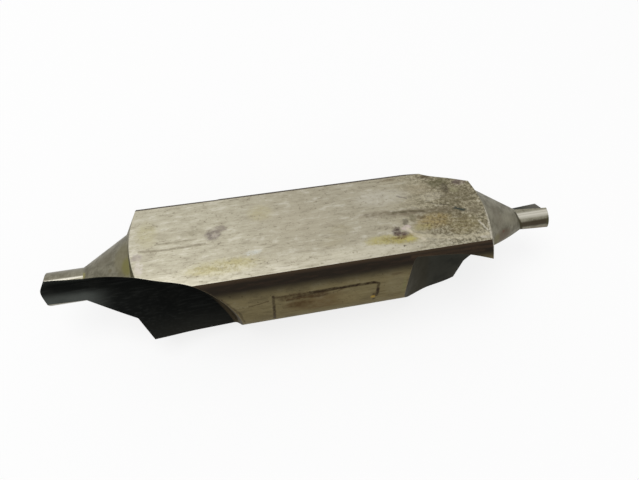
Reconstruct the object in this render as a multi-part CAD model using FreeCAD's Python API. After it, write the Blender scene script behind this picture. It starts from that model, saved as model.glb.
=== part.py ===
"""Center drill, double-ended, ground from one bar of high-speed steel.

The frame: X is the drill's axis, with the origin at the middle of the shank, and the clamping flat faces
+Z. Both ends are alike: the right end, turned half a turn about Z, is the left end. An end has a short
pilot drill, a 60 degree countersink and a 120 degree guard chamfer, and two right-hand flutes.
Angles are counted about +X, from +Y towards +Z.
"""

import FreeCAD
import Part

import math
import os

from FreeCAD import Vector

# Bar and clamping flat, in millimetres.
length = 66.4
shank_diameter = 16.0
flat_height = 5.85

# Profile of one end, in millimetres and degrees.
pilot_diameter = 4.0
pilot_length = 5.2
point_angle = 118.0
countersink_angle = 60.0
countersink_diameter = 10.1
guard_angle = 120.0

# Relief behind the lips: how far the axes that the faces are turned on are set off, and how far the
# countersink's is turned on past the guard's.
point_relief = 0.5
countersink_relief = 0.25
guard_relief = 1.8
countersink_relief_turn = 10.0

# Flutes. Twist is in degrees for each millimetre of length.
lip_angle = -27.5
flute_twist = 2.75
runout_twist = 0.6
twist_end_x = 17.2
runout_end_x = 18.0
root_radius = 1.0

# Hollow of a flute's cutting wall, and crown of its floor: depth, middle and half width.
rake_hollow = 0.33
rake_middle = 4.5
rake_half_width = 3.7
floor_crown = 0.25
floor_middle = 4.8
floor_half_width = 2.8

# Grinding wheel where it leaves the bar.
wheel_radius = 12.5
wheel_center_x = 22.8
wheel_center_height = 11.8
wheel_setting_angle = 18.4
floor_blend = 0.32

# Overcut by which the cutting solids pass the bar's own surfaces, and how far behind its lip the turning
# of one land begins.
overcut = 1.0
land_start = 27.0

# Sizes that follow from the driving ones.
shank_radius = shank_diameter / 2
pilot_radius = pilot_diameter / 2
countersink_radius = countersink_diameter / 2
countersink_slope = math.tan(math.radians(countersink_angle / 2))
guard_slope = math.tan(math.radians(guard_angle / 2))
point_slope = math.tan(math.radians(point_angle / 2))
tip_x = length / 2
pilot_foot_x = tip_x - pilot_length
countersink_x = pilot_foot_x - (countersink_radius - pilot_radius) / countersink_slope
guard_x = countersink_x - (shank_radius - countersink_radius) / guard_slope
runout_start_x = wheel_center_x - wheel_radius - overcut
open_height = shank_radius + 5 * overcut
open_depth = shank_radius + 3 * overcut
axis_x = Vector(1, 0, 0)
axis_z = Vector(0, 0, 1)


def radial(angle, size=1.0):
    """A vector square to the axis, at the angle given in degrees."""
    turn = math.radians(angle)
    return Vector(0, size * math.cos(turn), size * math.sin(turn))


def turned(corners, offset=Vector()):
    """A solid turned from (x, radius) corners about the X axis, then set off by a vector."""
    points = [Vector(x, radius, 0) for x, radius in corners]
    wire = Part.makePolygon(points + points[:1])
    solid = Part.Face(wire).revolve(Vector(), axis_x, 360)
    return solid.translated(offset)


def rake_angle(x):
    """Where the cutting wall of the flute stands at one station; the twist eases off at the run-out."""
    def eased(past):
        return (past + math.sqrt(past * past + 1)) / 2

    full_twist = eased(x - twist_end_x) - eased(guard_x - twist_end_x)
    return lip_angle + runout_twist * (x - guard_x) + (flute_twist - runout_twist) * full_twist


def relieved_profile():
    """The end as one of its two lands sees it.

    Point, countersink and guard are turned on axes set off towards the flute, so that behind the lip the
    surface falls away from the hole it cuts."""
    base_x = runout_end_x - overcut
    guard_tip_x = countersink_x + countersink_radius / guard_slope
    guard = turned([(base_x, 0), (guard_tip_x, 0), (base_x, (guard_tip_x - base_x) * guard_slope)],
                   radial(lip_angle + 90, guard_relief))
    countersink_tip_x = pilot_foot_x + pilot_radius / countersink_slope
    wide_radius = (countersink_tip_x - base_x) * countersink_slope
    countersink = turned([(base_x, 0), (countersink_tip_x, 0), (base_x, wide_radius)],
                         radial(lip_angle + 90 + countersink_relief_turn, countersink_relief))
    pilot = turned([(base_x, 0), (tip_x, 0), (tip_x, pilot_radius), (base_x, pilot_radius)])
    tip_lip_angle = rake_angle(tip_x - pilot_radius / point_slope)
    apex_x = tip_x + point_relief / point_slope
    point = turned([(base_x, 0), (apex_x, 0), (base_x, (apex_x - base_x) * point_slope)],
                   radial(tip_lip_angle + 90, point_relief))
    return guard.fuse([countersink, pilot]).common(point).common(half_turned(point))


def half_turned(solid):
    """The same solid after half a turn about the drill's axis."""
    other = solid.copy()
    other.rotate(Vector(), axis_x, 180)
    return other


def other_end(solid):
    """The same solid at the left-hand end of the bar."""
    other = solid.copy()
    other.rotate(Vector(), axis_z, 180)
    return other


def turning_waste():
    """What is turned away on the side of one land: all that stands outside its profile."""
    size = 2 * (shank_radius + overcut)
    side = Part.makeBox(tip_x - runout_end_x + 2 * overcut, size, 2 * size, Vector(runout_end_x, 0, -size))
    side.rotate(Vector(), axis_x, lip_angle - land_start)
    return side.cut(relieved_profile())


def floor_height(x):
    """Height of the flute's floor: near the axis along the flute, up the wheel's arc at its end."""
    behind_center = max(wheel_center_x - x, 0)
    reach = max(wheel_radius ** 2 - behind_center ** 2, 0)
    arc = wheel_center_height - math.sqrt(reach)
    return (arc + math.sqrt(arc ** 2 + floor_blend ** 2)) / 2


def flute_section(x):
    """Closed outline of the flute at one station: cutting wall, root, floor, and two sides in the open."""
    along = radial(rake_angle(x))
    across = radial(rake_angle(x) + 90)
    lean = math.tan(math.radians(wheel_setting_angle))

    def at(height, depth):
        return Vector(x, 0, 0) + along * height + across * depth

    def wall(height):
        return at(height, -rake_hollow * (1 - ((height - rake_middle) / rake_half_width) ** 2))

    def floor(depth):
        crown = floor_crown * (1 - ((depth - floor_middle) / floor_half_width) ** 2)
        return at(floor_height(x + depth * lean) + crown, depth)

    def smooth(points):
        last = len(points) - 1
        curve = Part.BSplineCurve()
        curve.interpolate(Points=points, Parameters=[step / last for step in range(len(points))])
        return curve.toShape()

    root_height = floor_height(x)
    wall_foot = root_height + root_radius
    wall_points = [wall(open_height + (wall_foot - open_height) * step / 5) for step in range(6)]
    floor_points = [floor(root_radius + (open_depth - root_radius) * step / 6) for step in range(7)]
    root = Part.BezierCurve()
    root_corner = (floor(root_radius / 5) + wall(root_height)) * 0.5
    root.setPoles([wall_points[-1], root_corner, floor_points[0]])
    far_corner = at(open_height, open_depth)
    return Part.Wire([
        smooth(wall_points),
        root.toShape(),
        smooth(floor_points),
        Part.makeLine(floor_points[-1], far_corner),
        Part.makeLine(far_corner, wall_points[0]),
    ])


def flute_cutter():
    """The space one flute takes out of the bar, from past the tip to where the wheel leaves it."""
    runout_length = runout_end_x - runout_start_x
    runout = [runout_start_x + runout_length * (step / 9) ** 1.6 for step in range(10)]
    spacing = (tip_x + 2 * overcut - runout_end_x) / 6
    stations = runout + [runout_end_x + spacing * step for step in range(1, 7)]
    return Part.makeLoft([flute_section(x) for x in stations], True, False)


bar_end_x = tip_x + overcut
bar_corners = [(-bar_end_x, 0), (bar_end_x, 0), (bar_end_x, shank_radius), (-bar_end_x, shank_radius)]
center_drill = turned(bar_corners)
for cutter in (turning_waste(), flute_cutter()):
    for one_of_two in (cutter, half_turned(cutter)):
        center_drill = center_drill.cut(one_of_two).cut(other_end(one_of_two))
above_flat = Part.makeBox(2 * length, 4 * shank_radius, shank_radius,
                          Vector(-length, -2 * shank_radius, flat_height))
center_drill = center_drill.cut(above_flat).removeSplitter().Solids[0]

os.makedirs("parts", exist_ok=True)
center_drill.exportStep("parts/center_drill.step")
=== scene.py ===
# %% [markdown]
# # A used center drill
# A center drill is a short, stiff cutting tool. It is ground from one bar of high-speed steel, so the
# whole object is one piece. The solid comes ready from the CAD model, and this lesson gives it the look
# of a tool that has spent years in a drawer: a pale ground flat, a dark oil-stained bar, black flutes
# and bare cones.

# %% Load the solid
import math

import bpy
from mathutils import Matrix, Vector


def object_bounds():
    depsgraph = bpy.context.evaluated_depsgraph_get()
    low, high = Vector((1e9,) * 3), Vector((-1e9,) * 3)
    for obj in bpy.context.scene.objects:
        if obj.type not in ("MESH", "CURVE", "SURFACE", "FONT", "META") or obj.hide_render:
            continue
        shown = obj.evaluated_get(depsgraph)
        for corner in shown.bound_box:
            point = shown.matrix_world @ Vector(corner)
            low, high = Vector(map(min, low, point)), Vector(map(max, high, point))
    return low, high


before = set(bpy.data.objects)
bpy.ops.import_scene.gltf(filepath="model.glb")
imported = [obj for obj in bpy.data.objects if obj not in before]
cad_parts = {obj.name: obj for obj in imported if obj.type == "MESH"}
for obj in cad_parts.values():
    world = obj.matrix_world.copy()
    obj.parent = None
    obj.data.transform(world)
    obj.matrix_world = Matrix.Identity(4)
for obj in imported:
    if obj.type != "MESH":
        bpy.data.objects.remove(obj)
cad_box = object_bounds()
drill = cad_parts["center_drill"]
print("center drill:", len(drill.data.polygons), "faces, box in mm",
      [round(1000 * (high - low), 1) for low, high in zip(*cad_box)])

# %% [markdown]
# ## Which face was made by which step
# Each face of the tool got its finish from the step that made it: the bar stock, the grinding of the
# flat, the flutes, and the turning of the cones. One material with painted masks could do this, but a
# material slot for each finish is simpler and gives crisp borders. A face is sorted by where it lies
# and which way it looks. The cones are easy to tell, because a cone's faces all lean against the axis
# by the same angle.

# %% Sort the faces by finish
MM = 0.001
BAR_RADIUS = 8.0 * MM
FLAT_HEIGHT = 5.85 * MM
PILOT_RADIUS = 2.0 * MM
CONE_START_X = 19.9 * MM
PILOT_START_X = 27.0 * MM
POINT_START_X = 31.9 * MM
HEIGHT_SLACK = 0.02 * MM
RADIUS_SLACK = 0.03 * MM
LEVEL_NORMAL_Z = 0.999
MOST_BAR_LEAN = 2
LEAST_CONE_LEAN = 24
LEAST_GUARD_LEAN = 45
FINISHES = ["ground flat", "bar skin", "flute", "countersink", "guard", "pilot", "point"]


def lean_of(face):
    """The angle between a face and the axis, in degrees, positive where it looks at the near tip."""
    toward_tip = face.normal.x if face.center.x > 0 else -face.normal.x
    return math.degrees(math.asin(max(-1.0, min(1.0, toward_tip))))


def all_at_radius(mesh, face, radius):
    """Whether every corner of the face lies that far from the axis."""
    corners = [mesh.vertices[index].co for index in face.vertices]
    return all(abs(math.hypot(*corner.yz) - radius) < RADIUS_SLACK for corner in corners)


def finish_of(mesh, face):
    """The name of the finish that belongs to a face."""
    x = abs(face.center.x)
    lean = lean_of(face)
    along_bar = abs(lean) < MOST_BAR_LEAN
    if face.normal.z > LEVEL_NORMAL_Z and face.center.z > FLAT_HEIGHT - HEIGHT_SLACK:
        return "ground flat"
    if along_bar and all_at_radius(mesh, face, BAR_RADIUS):
        return "bar skin"
    if along_bar and x > PILOT_START_X and all_at_radius(mesh, face, PILOT_RADIUS):
        return "pilot"
    if x < CONE_START_X or lean < LEAST_CONE_LEAN:
        return "flute"
    if x > POINT_START_X:
        return "point"
    return "countersink" if lean < LEAST_GUARD_LEAN else "guard"


finish_of_face = [finish_of(drill.data, face) for face in drill.data.polygons]
drill.data.materials.clear()
for name in FINISHES:
    drill.data.materials.append(bpy.data.materials.new(name))
drill.data.polygons.foreach_set("material_index", [FINISHES.index(name) for name in finish_of_face])
for name in FINISHES:
    area = sum(face.area for face, kind in zip(drill.data.polygons, finish_of_face) if kind == name)
    print(f"{name}: {finish_of_face.count(name)} faces, {area * 1e6:.1f} square mm")

# %% [markdown]
# ## Where the camera stands
# The camera looks down at the flat from the near side, a little from the left, about 62 mm away. That
# close, the near edge looks longer than the far one, as in the photograph. Its turn is written as three
# directions: to the right, up and back. A matrix with these as its columns places a camera with no
# trial and error.

# %% Place the camera
CAMERA_DISTANCE = 62.011 * MM
CAMERA_RISE = math.radians(59.377)
CAMERA_SWING = math.radians(-16.052)
CAMERA_ROLL = math.radians(5.449)
LOOK_RIGHT, LOOK_UP = 0.875 * MM, 1.235 * MM
PICTURE_WIDTH, FOCAL_PIXELS = 639, 480.033
SENSOR_WIDTH = 36
NEAREST_IN_VIEW = 1 * MM

back = Vector((math.sin(CAMERA_SWING) * math.cos(CAMERA_RISE),
               -math.cos(CAMERA_SWING) * math.cos(CAMERA_RISE),
               math.sin(CAMERA_RISE)))
level_right = Vector((0, 0, 1)).cross(back).normalized()
level_up = back.cross(level_right)
right = level_right * math.cos(CAMERA_ROLL) + level_up * math.sin(CAMERA_ROLL)
up = level_up * math.cos(CAMERA_ROLL) - level_right * math.sin(CAMERA_ROLL)

camera = bpy.data.objects.new("camera", bpy.data.cameras.new("camera"))
camera.data.sensor_width = SENSOR_WIDTH
camera.data.lens = FOCAL_PIXELS / PICTURE_WIDTH * SENSOR_WIDTH
camera.data.clip_start = NEAREST_IN_VIEW
camera.matrix_world = Matrix((right, up, back)).transposed().to_4x4()
camera.matrix_world.translation = back * CAMERA_DISTANCE + right * LOOK_RIGHT + up * LOOK_UP
bpy.context.collection.objects.link(camera)
bpy.context.scene.camera = camera
bpy.context.scene.view_settings.view_transform = "Standard"
print("camera at", [round(1000 * c, 1) for c in camera.matrix_world.translation], "mm, lens",
      round(camera.data.lens, 2), "mm")

# %% [markdown]
# ## Short names for shader nodes
# Every finish below is a small network of nodes. Adding them one by one takes many lines, so a few
# helpers make a node, join its inputs and hand back its output. They work on whichever material is
# being made at the moment. Positions on the drill are measured in millimetres, the unit in which its
# marks were measured too.

# %% Helpers that add nodes
class Finish:
    """What is being made: its name, its node tree and its shader."""
    name = None
    tree = None
    shader = None


def add(kind, inputs=(), output=0, **settings):
    """A new node with its inputs set or joined; hands back one of its outputs."""
    node = Finish.tree.nodes.new("ShaderNode" + kind)
    for name, value in settings.items():
        setattr(node, name, value)
    for slot, value in dict(inputs).items():
        if isinstance(value, bpy.types.NodeSocket):
            Finish.tree.links.new(value, node.inputs[slot])
        else:
            node.inputs[slot].default_value = value
    return node.outputs[output]


def calculate(operation, first, second=0.0):
    return add("Math", {0: first, 1: second}, operation=operation)


def times(first, second):
    return calculate("MULTIPLY", first, second)


# %% Helpers for masks, colors and noise
def between(value, low, high):
    """0 at low, 1 at high and smooth on the way; it may also run downward."""
    ends = {"Value": value, "From Min": low, "From Max": high}
    return add("MapRange", ends, interpolation_type="SMOOTHSTEP")


def color(red, green, blue):
    """A color in the usual 0 to 255 numbers, as the linear values that Blender works with."""
    shares = [part / 255 for part in (red, green, blue)]
    return (*[s / 12.92 if s <= 0.04 else ((s + 0.055) / 1.055) ** 2.4 for s in shares], 1)


def spread(noise, low, high):
    """Noise, which mostly stays between 0.3 and 0.7, spread over another range."""
    return add("MapRange", {"Value": noise, "From Min": 0.3, "From Max": 0.7,
                            "To Min": low, "To Max": high})


def blend_colors(mask, under, over):
    return add("Mix", {0: mask, 6: under, 7: over}, output=2, data_type="RGBA")


def stained(base, mask, strength, tint):
    """The base color with a tint laid over it where the mask is 1, at that strength."""
    return blend_colors(times(mask, strength), base, color(*tint))


def place_in_mm():
    here = add("TexCoord", output="Object")
    return add("VectorMath", {0: here, "Scale": 1 / MM}, operation="SCALE")


def grain(stretch, detail=3.0, roughness=0.6):
    """Noise around 0.5; stretch is how many of its waves fit in a millimetre along each axis."""
    squeezed = add("VectorMath", {0: place_in_mm(), 1: stretch}, operation="MULTIPLY")
    return add("TexNoise", {"Vector": squeezed, "Scale": 1.0, "Detail": detail, "Roughness": roughness})


# %% [markdown]
# ## Paler, rubbed edges
# Handling rubs the sharp edges of a tool bright. The Bevel node finds them: it gives the normal that a
# rounded edge would have, and where this differs from the face's own normal, an edge is near. The same
# rounded normal also gives most edges a soft glint, so one kind of node serves twice and the solid
# needs no extra faces.

# %% Start and end a finish
EDGE_ROUNDING = 0.12 * MM


def start_finish(name, metallic):
    material = drill.data.materials[FINISHES.index(name)]
    material.use_nodes = True
    Finish.name = name
    Finish.tree = material.node_tree
    Finish.shader = Finish.tree.nodes["Principled BSDF"]
    Finish.shader.inputs["Metallic"].default_value = metallic


def rounded_normal():
    return add("Bevel", {"Radius": EDGE_ROUNDING}, samples=6)


def edge_mask():
    """1 on the very edge and 0 a tenth of a millimetre away."""
    same = add("VectorMath", {0: rounded_normal(), 1: add("NewGeometry", output="True Normal")}, output=1,
               operation="DOT_PRODUCT")
    return between(same, 0.995, 0.86)


def end_finish(base_color, roughness, relief, relief_depth, rounded=True):
    """Joins the network to the shader; relief is a height from 0 to 1 and relief_depth its size in mm."""
    bump_inputs = {"Height": relief, "Strength": 1.0, "Distance": relief_depth * MM}
    if rounded:
        bump_inputs["Normal"] = rounded_normal()
    bump = add("Bump", bump_inputs)
    for slot, value in {"Base Color": base_color, "Roughness": roughness, "Normal": bump}.items():
        Finish.tree.links.new(value, Finish.shader.inputs[slot])
    print(Finish.name, len(Finish.tree.nodes), "nodes")


# %% [markdown]
# ## Stains and scratches
# The marks on this drill have shapes that can be named: round smudges, and thin lines from one point to
# another. Each kind is a distance turned into a mask, so a table of places and sizes is enough to draw
# them all. A little noise is added to the place first, which makes the borders ragged as real ones are.

# %% Masks for smudges and lines
def ragged(place, amount, waves):
    """The place, moved about at random by up to that many millimetres."""
    noise = add("TexNoise", {"Vector": place, "Scale": waves, "Detail": 2.0}, output="Color")
    centered = add("VectorMath", {0: noise, 1: (0.5, 0.5, 0.5)}, operation="SUBTRACT")
    moved = add("VectorMath", {0: centered, "Scale": 2 * amount}, operation="SCALE")
    return add("VectorMath", {0: place, 1: moved}, operation="ADD")


def smudge(place, center, size, soft=0.6):
    """1 inside an ellipse, falling to 0 at its rim."""
    away = add("VectorMath", {0: place, 1: (*center, 0)}, operation="SUBTRACT")
    scaled = add("VectorMath", {0: away, 1: (1 / size[0], 1 / size[1], 0)}, operation="MULTIPLY")
    return between(add("VectorMath", {0: scaled}, output=1, operation="LENGTH"), 1.0, 1.0 - soft)


def line(place, points, width):
    """1 along a line through the points, falling to 0 at half its width to each side."""
    mask = 0.0
    for start, end in zip(points, points[1:]):
        run = Vector((end[0] - start[0], end[1] - start[1], 0))
        away = add("VectorMath", {0: place, 1: (*start, 0)}, operation="SUBTRACT")
        flat_away = add("VectorMath", {0: away, 1: (1, 1, 0)}, operation="MULTIPLY")
        share = add("VectorMath", {0: flat_away, 1: run / run.length_squared}, output=1,
                    operation="DOT_PRODUCT")
        held = add("Clamp", {"Value": share})
        nearest = add("VectorMath", {0: run, "Scale": held}, operation="SCALE")
        distance = add("VectorMath", {0: flat_away, 1: nearest}, output=1, operation="DISTANCE")
        mask = calculate("MAXIMUM", between(distance, width / 2, width / 8), mask)
    return mask


def with_marks(base, place, smudges=(), lines=(), patchy=0.0):
    """The base color with each mark laid over it in turn; noise takes away the patchy share of a mark."""
    patches = 1.0
    if patchy:
        patch_noise = grain((1.5, 2.6, 1.5), detail=6, roughness=0.7)
        patches = add("MapRange", {"Value": patch_noise, "From Min": 0.40, "From Max": 0.56,
                                   "To Min": 1 - patchy})
    for center, size, tint, strength in smudges:
        mask = times(times(smudge(place, center, size), strength), patches)
        base = blend_colors(mask, base, color(*tint))
    for points, width, tint, strength in lines:
        mask = times(times(line(place, points, width), strength), patches)
        base = blend_colors(mask, base, color(*tint))
    return base


# %% [markdown]
# ## The ground flat
# A surface grinder left fine lines along the flat, and years of use left stains: yellow dried oil, a
# brown mottled patch toward the right end and dark scuffs beside it. The middle is a little duller than
# the left end. The tables give each mark's place on the flat, so a mark can be moved or cleaned off by
# changing one line.

# %% Marks on the flat
FLAT_SMUDGES = [  # center, half size, tint, strength
    ((-20.5, -0.9), (0.8, 0.7), (138, 128, 124), 0.80),
    ((-20.3, -2.3), (0.6, 1.3), (184, 176, 170), 0.55),
    ((-19.3, 1.9), (1.6, 2.2), (156, 150, 116), 0.60),
    ((-17.4, 1.4), (2.0, 0.6), (144, 138, 118), 0.55),
    ((-14.2, 1.35), (2.6, 0.6), (134, 128, 108), 0.70),
    ((-11.9, 0.7), (1.2, 1.0), (98, 88, 84), 0.85),
    ((-11.7, 0.6), (0.5, 0.4), (170, 162, 150), 0.60),
    ((-11.0, 1.4), (1.0, 0.7), (112, 102, 94), 0.75),
    ((-11.0, -3.6), (5.4, 1.3), (168, 161, 122), 0.45),
    ((-13.4, -3.8), (2.4, 0.7), (160, 151, 104), 0.40),
    ((-9.4, -3.3), (2.2, 0.6), (160, 151, 104), 0.40),
    ((-6.1, 2.8), (2.0, 1.5), (156, 148, 114), 0.55),
    ((-7.6, -2.4), (1.3, 0.4), (184, 187, 182), 0.60),
    ((-1.5, 1.0), (5.5, 3.2), (160, 153, 134), 0.40),
    ((3.0, -1.1), (1.8, 1.0), (140, 132, 106), 0.45),
    ((1.6, -2.6), (2.0, 0.8), (146, 138, 112), 0.40),
    ((5.0, -4.4), (7.0, 0.9), (186, 181, 162), 0.45),
    ((9.0, 2.6), (4.5, 1.6), (184, 180, 168), 0.45),
    ((14.0, 3.2), (2.6, 1.2), (156, 146, 122), 0.45),
    ((7.6, 0.3), (3.0, 0.6), (126, 116, 98), 0.55),
    ((11.6, -0.1), (3.6, 0.6), (112, 102, 84), 0.70),
    ((15.9, -0.4), (2.9, 0.7), (96, 86, 68), 0.70),
    ((18.2, 1.5), (3.0, 2.2), (98, 90, 68), 0.60),
    ((15.3, 1.8), (2.2, 0.8), (182, 175, 156), 0.40),
    ((18.1, -2.0), (0.8, 0.4), (62, 52, 38), 0.95),
    ((16.6, 3.7), (1.9, 0.9), (82, 78, 52), 0.75),
    ((17.3, 2.8), (0.6, 1.0), (66, 58, 46), 0.75),
    ((18.4, 2.3), (0.8, 0.6), (146, 142, 112), 0.60),
    ((19.4, 3.4), (1.2, 0.6), (88, 72, 76), 0.70),
    ((14.4, -1.7), (3.2, 1.4), (142, 124, 78), 0.70),
    ((12.9, -2.4), (1.6, 0.7), (152, 144, 96), 0.55),
    ((17.7, -0.45), (0.7, 0.25), (52, 56, 48), 0.95),
    ((18.4, -0.75), (0.7, 0.28), (46, 54, 48), 0.95),
    ((17.9, -2.9), (2.8, 1.8), (130, 120, 84), 0.55),
    ((20.0, -0.8), (1.2, 1.4), (118, 110, 90), 0.55),
    ((7.6, -3.35), (2.9, 0.85), (160, 152, 106), 1.00),
    ((10.1, -3.65), (2.6, 0.8), (150, 141, 90), 1.00),
    ((8.3, -3.3), (1.4, 0.25), (132, 122, 76), 0.80),
    ((10.9, -3.2), (1.0, 0.25), (126, 114, 68), 0.80),
    ((10.7, -3.7), (1.0, 0.3), (168, 160, 98), 0.90),
    ((9.5, -2.4), (0.75, 0.75), (66, 52, 48), 1.00),
    ((10.0, -2.95), (1.0, 0.45), (80, 64, 58), 1.00),
    ((9.7, -3.4), (1.0, 0.25), (86, 66, 40), 0.95),
    ((10.75, -2.15), (0.8, 0.5), (182, 168, 162), 0.85),
    ((10.9, -1.35), (0.5, 0.7), (90, 84, 70), 0.75),
    ((11.95, -1.05), (0.5, 0.9), (100, 94, 72), 0.75),
    ((13.0, -0.95), (0.9, 0.4), (82, 70, 50), 0.80),
    ((10.4, 5.1), (1.2, 0.3), (106, 92, 66), 0.70),
    ((15.3, 4.9), (1.0, 0.35), (72, 60, 44), 0.80),
    ((9.9, -4.5), (0.22, 0.16), (72, 62, 52), 0.80),
    ((11.4, -4.9), (0.28, 0.16), (66, 56, 46), 0.80),
]
FLAT_LINES = [  # points, width, tint, strength
    ([(-20.2, -0.2), (-17.7, -0.4), (-15.2, -0.4), (-12.9, -0.3)], 0.45, (118, 111, 92), 0.80),
    ([(-18.4, 0.45), (-13.8, 0.45)], 0.32, (122, 116, 96), 0.75),
    ([(6.4, 0.35), (12.1, 0.05), (15.6, -0.45), (20.2, -1.1)], 0.95, (98, 90, 70), 0.50),
    ([(9.8, 0.15), (12.1, 0.05), (13.6, -0.2)], 0.50, (76, 68, 50), 0.70),
    ([(10.9, -2.3), (11.3, -3.0), (12.5, -4.1)], 0.60, (190, 181, 160), 0.75),
    ([(12.0, -3.4), (14.5, -4.1), (17.7, -4.6), (20.3, -4.6)], 0.70, (180, 172, 148), 0.65),
    ([(10.9, 2.5), (12.0, 2.0)], 0.26, (78, 68, 66), 0.70),
    ([(14.9, 0.8), (15.6, 0.6)], 0.26, (72, 64, 50), 0.80),
    ([(16.0, 0.4), (16.9, 0.25)], 0.26, (72, 64, 50), 0.80),
    ([(16.4, 1.7), (17.1, 1.6)], 0.22, (74, 66, 54), 0.70),
    ([(17.6, -0.4), (18.6, -0.8)], 0.40, (46, 54, 48), 0.95),
    ([(19.9, -2.7), (20.5, -4.1)], 0.36, (192, 187, 172), 0.75),
    ([(21.4, -1.0), (21.0, -3.6), (20.6, -5.2)], 0.50, (196, 191, 176), 0.80),
    ([(19.4, -4.9), (20.7, -5.1)], 0.50, (190, 184, 168), 0.70),
]

# %% Make the ground flat
start_finish("ground flat", metallic=0.75)
here = place_in_mm()
on_flat = ragged(ragged(here, 0.25, 2.2), 0.22, 5.0)
along = add("SeparateXYZ", {0: here})
flat_base = blend_colors(between(along, -14.0, 0.0), color(167, 162, 143), color(158, 152, 133))
flat_base = blend_colors(between(along, 6.0, 19.0), flat_base, color(156, 148, 122))
across = add("SeparateXYZ", {0: here}, output=1)
flat_base = stained(flat_base, between(across, -2.6, -4.8), 0.40, (200, 195, 176))

# %% Add grinding lines, clouds and scratches to the flat
grinding = grain((0.22, 8.0, 1.0), detail=5)
clouds = grain((0.5, 1.5, 1.0), detail=7, roughness=0.72)
flat_base = stained(flat_base, between(grinding, 0.62, 0.38), 0.20, (116, 108, 92))
flat_base = stained(flat_base, between(clouds, 0.50, 0.66), 0.42, (118, 110, 92))
flat_base = stained(flat_base, between(clouds, 0.49, 0.34), 0.36, (204, 200, 187))
scratches = grain((0.6, 6.0, 1.0), detail=2)
flat_base = stained(flat_base, between(scratches, 0.60, 0.72), 0.45, (98, 88, 74))

# %% Add the grime of the right end
grime = grain((2.0, 2.5, 1.0), detail=8, roughness=0.8)
grimy_end = between(along, 9.0, 17.5)
flat_base = stained(flat_base, grimy_end, 0.40, (120, 113, 90))
flat_base = stained(flat_base, times(between(grime, 0.48, 0.55), grimy_end), 0.80, (74, 68, 48))
flat_base = stained(flat_base, times(between(grime, 0.46, 0.38), grimy_end), 0.55, (196, 190, 170))

# %% Add the stains to the flat
flat_base = with_marks(flat_base, on_flat, FLAT_SMUDGES, patchy=0.5)
flat_base = with_marks(flat_base, ragged(here, 0.08, 2.2), lines=FLAT_LINES, patchy=0.6)
crumbs = grain((2.7, 3.4, 1.0), detail=5, roughness=0.7)
ochre_patch = smudge(on_flat, (16.0, -2.3), (4.8, 2.1))
flat_base = stained(flat_base, times(between(crumbs, 0.50, 0.58), ochre_patch), 0.72, (78, 64, 40))
yellow_patch = smudge(on_flat, (-11.0, -3.7), (6.4, 1.5), soft=0.9)
flat_base = stained(flat_base, times(between(crumbs, 0.47, 0.58), yellow_patch), 0.60, (132, 124, 84))
yellow_streak = smudge(on_flat, (9.0, -3.5), (4.2, 0.8))
flat_base = stained(flat_base, times(between(crumbs, 0.50, 0.60), yellow_streak), 0.50, (122, 108, 64))
speck_share = times(between(clouds, 0.42, 0.58), 0.75)
specks = grain((3.2, 4.4, 4.0), detail=3)
flat_base = stained(flat_base, between(specks, 0.57, 0.69), speck_share, (108, 99, 82))
flat_base = stained(flat_base, edge_mask(), 0.55, (204, 200, 184))
end_finish(flat_base, spread(clouds, 0.38, 0.52), grinding, 0.006)

# %% [markdown]
# ## The bar's own skin
# The round part of the bar was never polished again. It is a dull olive brown with stripes of brown oil.
# The dark band along the edges of the flat is a painted dark reflection. On the skin is the outline of
# an old sticker: thin brown lines of dried glue with a rounded corner. The marks lie on a cylinder, so
# their place is a length along the bar and an arc round it, as if the skin were unrolled.

# %% Marks on the skin
NEAR_EDGE_ANGLE = 133.0
BAR_SMUDGES = [  # center as (mm along, degrees round), half size in mm, tint, strength
    ((0.0, 171), (5.9, 2.0), (88, 68, 40), 0.60),
    ((3.2, 170), (2.8, 1.8), (126, 116, 84), 0.60),
    ((-3.6, 158), (2.5, 0.8), (58, 42, 24), 0.80),
    ((-3.2, 168), (2.3, 1.0), (70, 52, 28), 0.80),
    ((-0.9, 160), (2.0, 0.6), (60, 44, 26), 0.80),
    ((8.6, 151), (1.0, 0.25), (58, 40, 26), 0.60),
    ((5.9, 176), (0.40, 0.45), (158, 130, 56), 0.90),
    ((6.0, 172), (0.40, 0.40), (50, 34, 16), 0.90),
    ((6.1, 181), (0.30, 0.30), (30, 24, 16), 0.85),
    ((8.6, 164), (1.7, 2.6), (118, 110, 84), 0.50),
    ((9.7, 168), (0.35, 2.2), (112, 110, 74), 0.50),
]
BAR_LINES = [  # points as (mm along, degrees round), width in mm, tint, strength
    ([(-6.0, 155.4), (-1.8, 156.0)], 0.40, (50, 36, 20), 0.60),
    ([(-3.8, 158.6), (-1.4, 157.6), (0.4, 157.4), (2.4, 156.9)], 0.32, (46, 32, 18), 0.75),
    ([(-4.6, 160.6), (-3.0, 160.2), (-1.6, 161.0)], 0.40, (66, 48, 26), 0.70),
    ([(0.9, 160.0), (2.0, 158.4)], 0.30, (60, 44, 26), 0.60),
    ([(-1.8, 156.0), (1.0, 155.9), (3.1, 156.1), (6.0, 156.6), (6.4, 158.2), (6.35, 175)], 0.62,
     (38, 26, 14), 1.00),
    ([(-6.1, 154), (-6.2, 190)], 0.55, (46, 36, 24), 0.90),
    ([(-9.0, 161), (-7.9, 160), (-6.7, 158)], 0.30, (58, 44, 28), 0.65),
    ([(-13.6, 138), (-11.4, 153), (-10.1, 168), (-9.8, 186)], 0.40, (54, 46, 34), 0.60),
    ([(10.5, 137.5), (20.5, 138.5)], 0.55, (70, 54, 40), 0.45),
    ([(11.5, 141.0), (19.5, 141.5)], 0.40, (62, 50, 38), 0.40),
]

# %% Unroll the skin
MM_PER_DEGREE = math.pi * (BAR_RADIUS / MM) / 180


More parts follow.
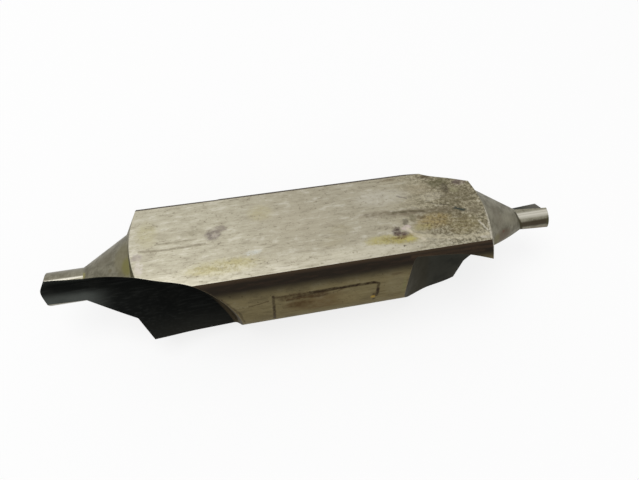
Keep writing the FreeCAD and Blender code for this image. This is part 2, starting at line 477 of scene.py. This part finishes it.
def unrolled(mark_place):
    """A place given as (mm along, degrees round), as millimetres on the unrolled skin."""
    x, angle = mark_place
    return x, (angle - NEAR_EDGE_ANGLE) * MM_PER_DEGREE


def place_unrolled():
    """The place on the unrolled skin, and the angle round the bar that it was made from."""
    axes = [add("SeparateXYZ", {0: place_in_mm()}, output=axis) for axis in range(3)]
    half_turn_on = calculate("ARCTAN2", times(axes[2], -1), times(axes[1], -1))
    angle = calculate("ADD", calculate("DEGREES", half_turn_on), 180)
    arc = times(calculate("SUBTRACT", angle, NEAR_EDGE_ANGLE), MM_PER_DEGREE)
    return ragged(add("CombineXYZ", {0: axes[0], 1: arc}), 0.12, 2.2), angle


# %% Make the bar skin
start_finish("bar skin", metallic=0.7)
Finish.shader.inputs["Specular Tint"].default_value = color(176, 168, 148)
on_skin, angle = place_unrolled()
from_top = calculate("ABSOLUTE", calculate("SUBTRACT", angle, 90))
streaks = grain((0.50, 3.4, 3.4), detail=6)
clouds = grain((0.45, 0.70, 0.70), detail=7, roughness=0.65)
skin = blend_colors(between(from_top, 96.0, 170.0), color(110, 100, 72), color(104, 96, 76))
skin = stained(skin, between(clouds, 0.48, 0.64), 0.42, (78, 70, 52))
skin = stained(skin, between(clouds, 0.46, 0.32), 0.40, (128, 121, 98))
skin = stained(skin, between(streaks, 0.53, 0.66), 0.26, (64, 54, 38))
skin = stained(skin, between(streaks, 0.46, 0.32), 0.16, (130, 122, 98))
# The dark band along both edges of the flat is painted in: a dark reflection laid into the skin's colour.
reflection_band_rim = calculate("ADD", from_top, times(streaks, 4.0))
painted_reflection_band = blend_colors(between(from_top, 47.5, 43.0), color(33, 28, 23), color(62, 50, 38))
skin = blend_colors(between(reflection_band_rim, 67.0, 54.0), skin, painted_reflection_band)
# Brown oil streaks along the rim of the painted reflection band, which also darken that painted
# reflection.
oil_and_reflection_streaks = times(between(streaks, 0.45, 0.62), between(reflection_band_rim, 57.0, 53.0))
skin = stained(skin, oil_and_reflection_streaks, 0.30, (60, 45, 36))
skin_smudges = [(unrolled(center), *rest) for center, *rest in BAR_SMUDGES]
skin_lines = [([unrolled(point) for point in points], *rest) for points, *rest in BAR_LINES]
skin = with_marks(skin, on_skin, skin_smudges, skin_lines, patchy=0.4)
pits = grain((3.0, 3.6, 3.6), detail=2)
skin = stained(skin, between(pits, 0.64, 0.72), 0.50, (40, 30, 20))
skin = stained(skin, edge_mask(), 0.15, (140, 130, 106))
end_finish(skin, spread(streaks, 0.38, 0.55), streaks, 0.008, rounded=False)

# %% [markdown]
# ## Black flutes
# The flutes kept the dark skin of heat treatment, black at the left end. The greenish gray at the right
# end is a painted reflection, and the lighter gray of the lower walls is painted light. A grinding wheel
# ran along them, so the fine lines follow the flute. Where the wall meets the slim pilot, a lighter gray
# is painted as a highlight. The noise is stretched along the drill, because the flutes turn so little
# that it still seems to follow them.

# %% Make the flutes
start_finish("flute", metallic=0.6)
Finish.shader.inputs["Specular IOR Level"].default_value = 0.2
Finish.shader.inputs["Specular Tint"].default_value = color(196, 192, 180)
here = place_in_mm()
axes = [add("SeparateXYZ", {0: here}, output=axis) for axis in range(3)]
from_middle = calculate("ABSOLUTE", axes[0])
across_axis = add("CombineXYZ", {0: axes[1], 1: axes[2]})
from_axis = add("VectorMath", {0: across_axis}, output=1, operation="LENGTH")
wheel_lines = grain((0.30, 7.0, 7.0), detail=4)
clouds = grain((0.35, 0.5, 0.5), detail=3)
# Black at the left end; the greenish gray at the right end is a painted reflection.
flute_base = blend_colors(between(axes[0], -2.0, 2.0), color(7, 9, 9), color(47, 47, 41))
flute_base = stained(flute_base, between(clouds, 0.50, 0.70), 0.40, (28, 29, 27))
# Painted light: the lower walls are given a lighter gray, as if lit more than the upper ones.
painted_light_lower_walls = times(between(axes[1], -3.0, -7.0), between(axes[2], -1.0, -5.0))
flute_base = stained(flute_base, painted_light_lower_walls, 0.40, (50, 50, 45))
flute_base = stained(flute_base, between(wheel_lines, 0.50, 0.68), 0.28, (48, 50, 48))
# Painted highlight: a lighter gray facet and streak where the flute wall meets the pilot.
painted_highlight_facet = times(between(from_middle, 24.5, 28.8), between(from_axis, 0.5, 1.5))
painted_highlight_tint = blend_colors(between(axes[0], 29.0, 32.6), color(62, 65, 62), color(106, 104, 96))
flute_base = blend_colors(times(painted_highlight_facet, 0.75), flute_base, painted_highlight_tint)
facing_tip = calculate("ABSOLUTE", add("SeparateXYZ", {0: add("NewGeometry", output="True Normal")}))
wheel_arc = times(between(facing_tip, 0.15, 0.50), between(from_middle, 16.0, 14.5))
arc_tint = blend_colors(between(axes[0], -2.0, 2.0), color(72, 62, 45), color(44, 41, 31))
flute_base = blend_colors(times(wheel_arc, 0.75), flute_base, arc_tint)
flute_base = stained(flute_base, edge_mask(), 0.14, (96, 90, 72))
end_finish(flute_base, spread(clouds, 0.48, 0.62), wheel_lines, 0.004, rounded=False)

# %% [markdown]
# ## Cones, pilot and point
# These are the faces that cut. They were ground round the axis, so their fine lines are rings: noise
# that changes mostly along the drill gives them. The cones are matt gray beige, the chamfer at the foot
# of the left cone has a band of olive oil, and the pilots are the brightest, most rubbed parts of the
# tool. Their brightest stripes are painted highlights, and a few dark patches are painted shade.

# %% Helpers for the cutting faces
def rings(waves):
    """Fine lines round the axis, slightly broken up."""
    return grain((waves, 0.35, 0.35), detail=3)


def place_round_axis():
    """Millimetres along the drill and degrees round it."""
    axes = [add("SeparateXYZ", {0: place_in_mm()}, output=axis) for axis in range(3)]
    angle = calculate("DEGREES", calculate("ARCTAN2", axes[2], axes[1]))
    return add("CombineXYZ", {0: axes[0], 1: angle})


def make_cutting_finish(name, metallic, roughness, tint, dark_tint, smudges, lines=(), worn=0.0):
    start_finish(name, metallic)
    lines_round = rings(6.0)
    clouds = grain((0.9, 0.9, 0.9), detail=5, roughness=0.7)
    base = blend_colors(between(clouds, 0.40, 0.66), color(*tint), color(*dark_tint))
    base = stained(base, between(lines_round, 0.60, 0.38), 0.35, dark_tint)
    specks = grain((3.5, 3.5, 3.5), detail=3)
    base = stained(base, between(specks, 0.62, 0.70), 0.45, (58, 52, 40))
    base = with_marks(base, place_round_axis(), smudges, lines)
    if worn:
        base = stained(base, edge_mask(), worn, (196, 192, 176))
    end_finish(base, spread(clouds, roughness, roughness + 0.12), lines_round, 0.005)


# %% Make the cones
# A thin dark line of painted shade lies in the crease where the right cone meets its pilot, so both
# finishes carry it.
PILOT_FOOT_SHADE_LINE = ([(27.3, 94), (27.6, 118), (28.0, 145), (28.25, 172)], 0.55, (58, 54, 36), 0.90)
make_cutting_finish("countersink", 0.7, 0.42, (122, 118, 101), (94, 90, 74), [
    ((-27.7, 90), (0.6, 18), (150, 144, 78), 0.55),
    ((-22.2, 92), (1.4, 34), (112, 106, 78), 0.60),
    ((-21.7, 106), (0.9, 16), (108, 104, 50), 0.75),
    ((-23.9, 104), (0.35, 4), (84, 76, 50), 0.55),
    ((-24.6, 75), (1.6, 18), (96, 90, 72), 0.55),
    ((23.6, 110), (1.2, 30), (104, 98, 82), 0.50),
    ((25.6, 112), (1.4, 26), (132, 128, 110), 0.50),
    ((24.4, 145), (2.0, 15), (78, 64, 44), 0.85),
    ((24.3, 138), (0.3, 4), (84, 54, 34), 0.80),
    ((23.0, 146), (0.8, 12), (98, 92, 54), 0.65),
    # This smudge paints the sliver of cone next to the pilot as bright as the pilot's painted highlight.
    ((27.8, 104), (0.5, 16), (150, 146, 130), 0.70)], lines=[PILOT_FOOT_SHADE_LINE])
make_cutting_finish("guard", 0.7, 0.42, (98, 91, 62), (78, 71, 46), [
    ((-21.5, 104), (1.4, 22), (60, 56, 24), 0.90),
    ((-21.6, 70), (1.2, 30), (92, 85, 52), 0.60),
    ((21.6, 120), (1.4, 40), (160, 154, 134), 0.60),
    # Painted shade: the underside of the right guard, which faces the floor, is darkened.
    ((21.5, -130), (2.5, 45), (44, 40, 32), 0.80)], worn=0.5)

# %% Make the pilots and the points
# On the right pilot a bright stripe of rubbed metal, with a painted highlight on it, lies above a dark
# brown band. On the left pilot a painted highlight brightens only the rim.
make_cutting_finish("pilot", 0.85, 0.30, (138, 134, 118), (108, 104, 88), [
    ((31.0, 110), (12.0, 18), (186, 182, 168), 0.85),
    ((31.0, 103), (12.0, 4), (206, 202, 190), 0.50),
    ((31.0, 107), (12.0, 3), (140, 134, 116), 0.30),
    ((31.0, 111), (12.0, 5), (204, 200, 188), 0.60),
    ((31.0, 146), (12.0, 17), (56, 48, 33), 0.95),
    ((32.1, 145), (0.5, 26), (68, 66, 42), 0.85),
    ((31.0, 172), (12.0, 11), (122, 112, 94), 0.75),
    ((-31.4, 91), (6.0, 6), (208, 204, 190), 0.85),
    ((-31.0, 45), (6.0, 30), (112, 108, 92), 0.60)],
    lines=[PILOT_FOOT_SHADE_LINE])
make_cutting_finish("point", 0.7, 0.42, (98, 96, 86), (60, 58, 50), [], worn=0.5)

# %% [markdown]
# ## Floor and light
# A photograph for a catalog has a white ground and soft light. Here the world is a plain pale room, and
# one large soft lamp above gives the flat its brightness and leaves a faint shadow under the drill.
# Camera and mirror rays see the room as white and the floor as nearly white, so the background doesn't
# need more light.

# %% Lay the floor
FLOOR_Z = cad_box[0][2]
HALF_FLOOR = 0.6
floor_mesh = bpy.data.meshes.new("floor")
floor_mesh.from_pydata([(-HALF_FLOOR, -HALF_FLOOR, FLOOR_Z), (HALF_FLOOR, -HALF_FLOOR, FLOOR_Z),
                        (HALF_FLOOR, HALF_FLOOR, FLOOR_Z), (-HALF_FLOOR, HALF_FLOOR, FLOOR_Z)],
                       [], [(0, 1, 2, 3)])
floor = bpy.data.objects.new("floor", floor_mesh)
bpy.context.collection.objects.link(floor)
print("floor at", round(1000 * FLOOR_Z, 2), "mm")


# %% Make the floor white
def seen_directly():
    """1 for camera, mirror and glass rays, which look at a background rather than gather its light."""
    seen = add("LightPath", output="Is Camera Ray")
    for name in ("Is Glossy Ray", "Is Transmission Ray"):
        seen = calculate("MAXIMUM", seen, add("LightPath", output=name))
    return seen


PAPER_COLOR = (0.93, 0.93, 0.93, 1)
WHITE_SHARE = 0.8
floor_material = bpy.data.materials.new("white floor")
floor_material.use_nodes = True
floor_mesh.materials.append(floor_material)
Finish.tree = floor_material.node_tree
Finish.tree.nodes.remove(Finish.tree.nodes["Principled BSDF"])
paper = add("BsdfDiffuse", {"Color": PAPER_COLOR})
paper_and_white = add("MixShader", {0: times(seen_directly(), WHITE_SHARE), 1: paper, 2: add("Emission")})

# From below the floor lets the camera look through, so that the underside of the drill can be seen too.
from_below = times(add("NewGeometry", output="Backfacing"), add("LightPath", output="Is Camera Ray"))
see_through = add("MixShader", {0: from_below, 1: paper_and_white, 2: add("BsdfTransparent")})
Finish.tree.links.new(see_through, Finish.tree.nodes["Material Output"].inputs["Surface"])
print("floor material", len(Finish.tree.nodes), "nodes")

# %% Light the room
ROOM_LIGHT = 0.60
world = bpy.data.worlds.new("pale room")
world.use_nodes = True
bpy.context.scene.world = world
Finish.tree = world.node_tree
room = Finish.tree.nodes["Background"]
room.inputs["Color"].default_value = (1, 1, 1, 1)
level = add("MapRange", {"Value": seen_directly(), "To Min": ROOM_LIGHT, "To Max": 1.0})
Finish.tree.links.new(level, room.inputs["Strength"])

# %% Hang the lamp
LAMP_PLACE = (-0.12, 0.02, 0.45)
LAMP_WIDTH = 0.35
LAMP_WATTS = 1.0
lamp = bpy.data.objects.new("soft lamp", bpy.data.lights.new("soft lamp", "AREA"))
lamp.data.shape = "DISK"
lamp.data.size = LAMP_WIDTH
lamp.data.energy = LAMP_WATTS
lamp.location = LAMP_PLACE
lamp.rotation_euler = Vector(LAMP_PLACE).to_track_quat("Z", "Y").to_euler()
bpy.context.collection.objects.link(lamp)
print("room light", ROOM_LIGHT, "and a lamp of", LAMP_WATTS, "W")
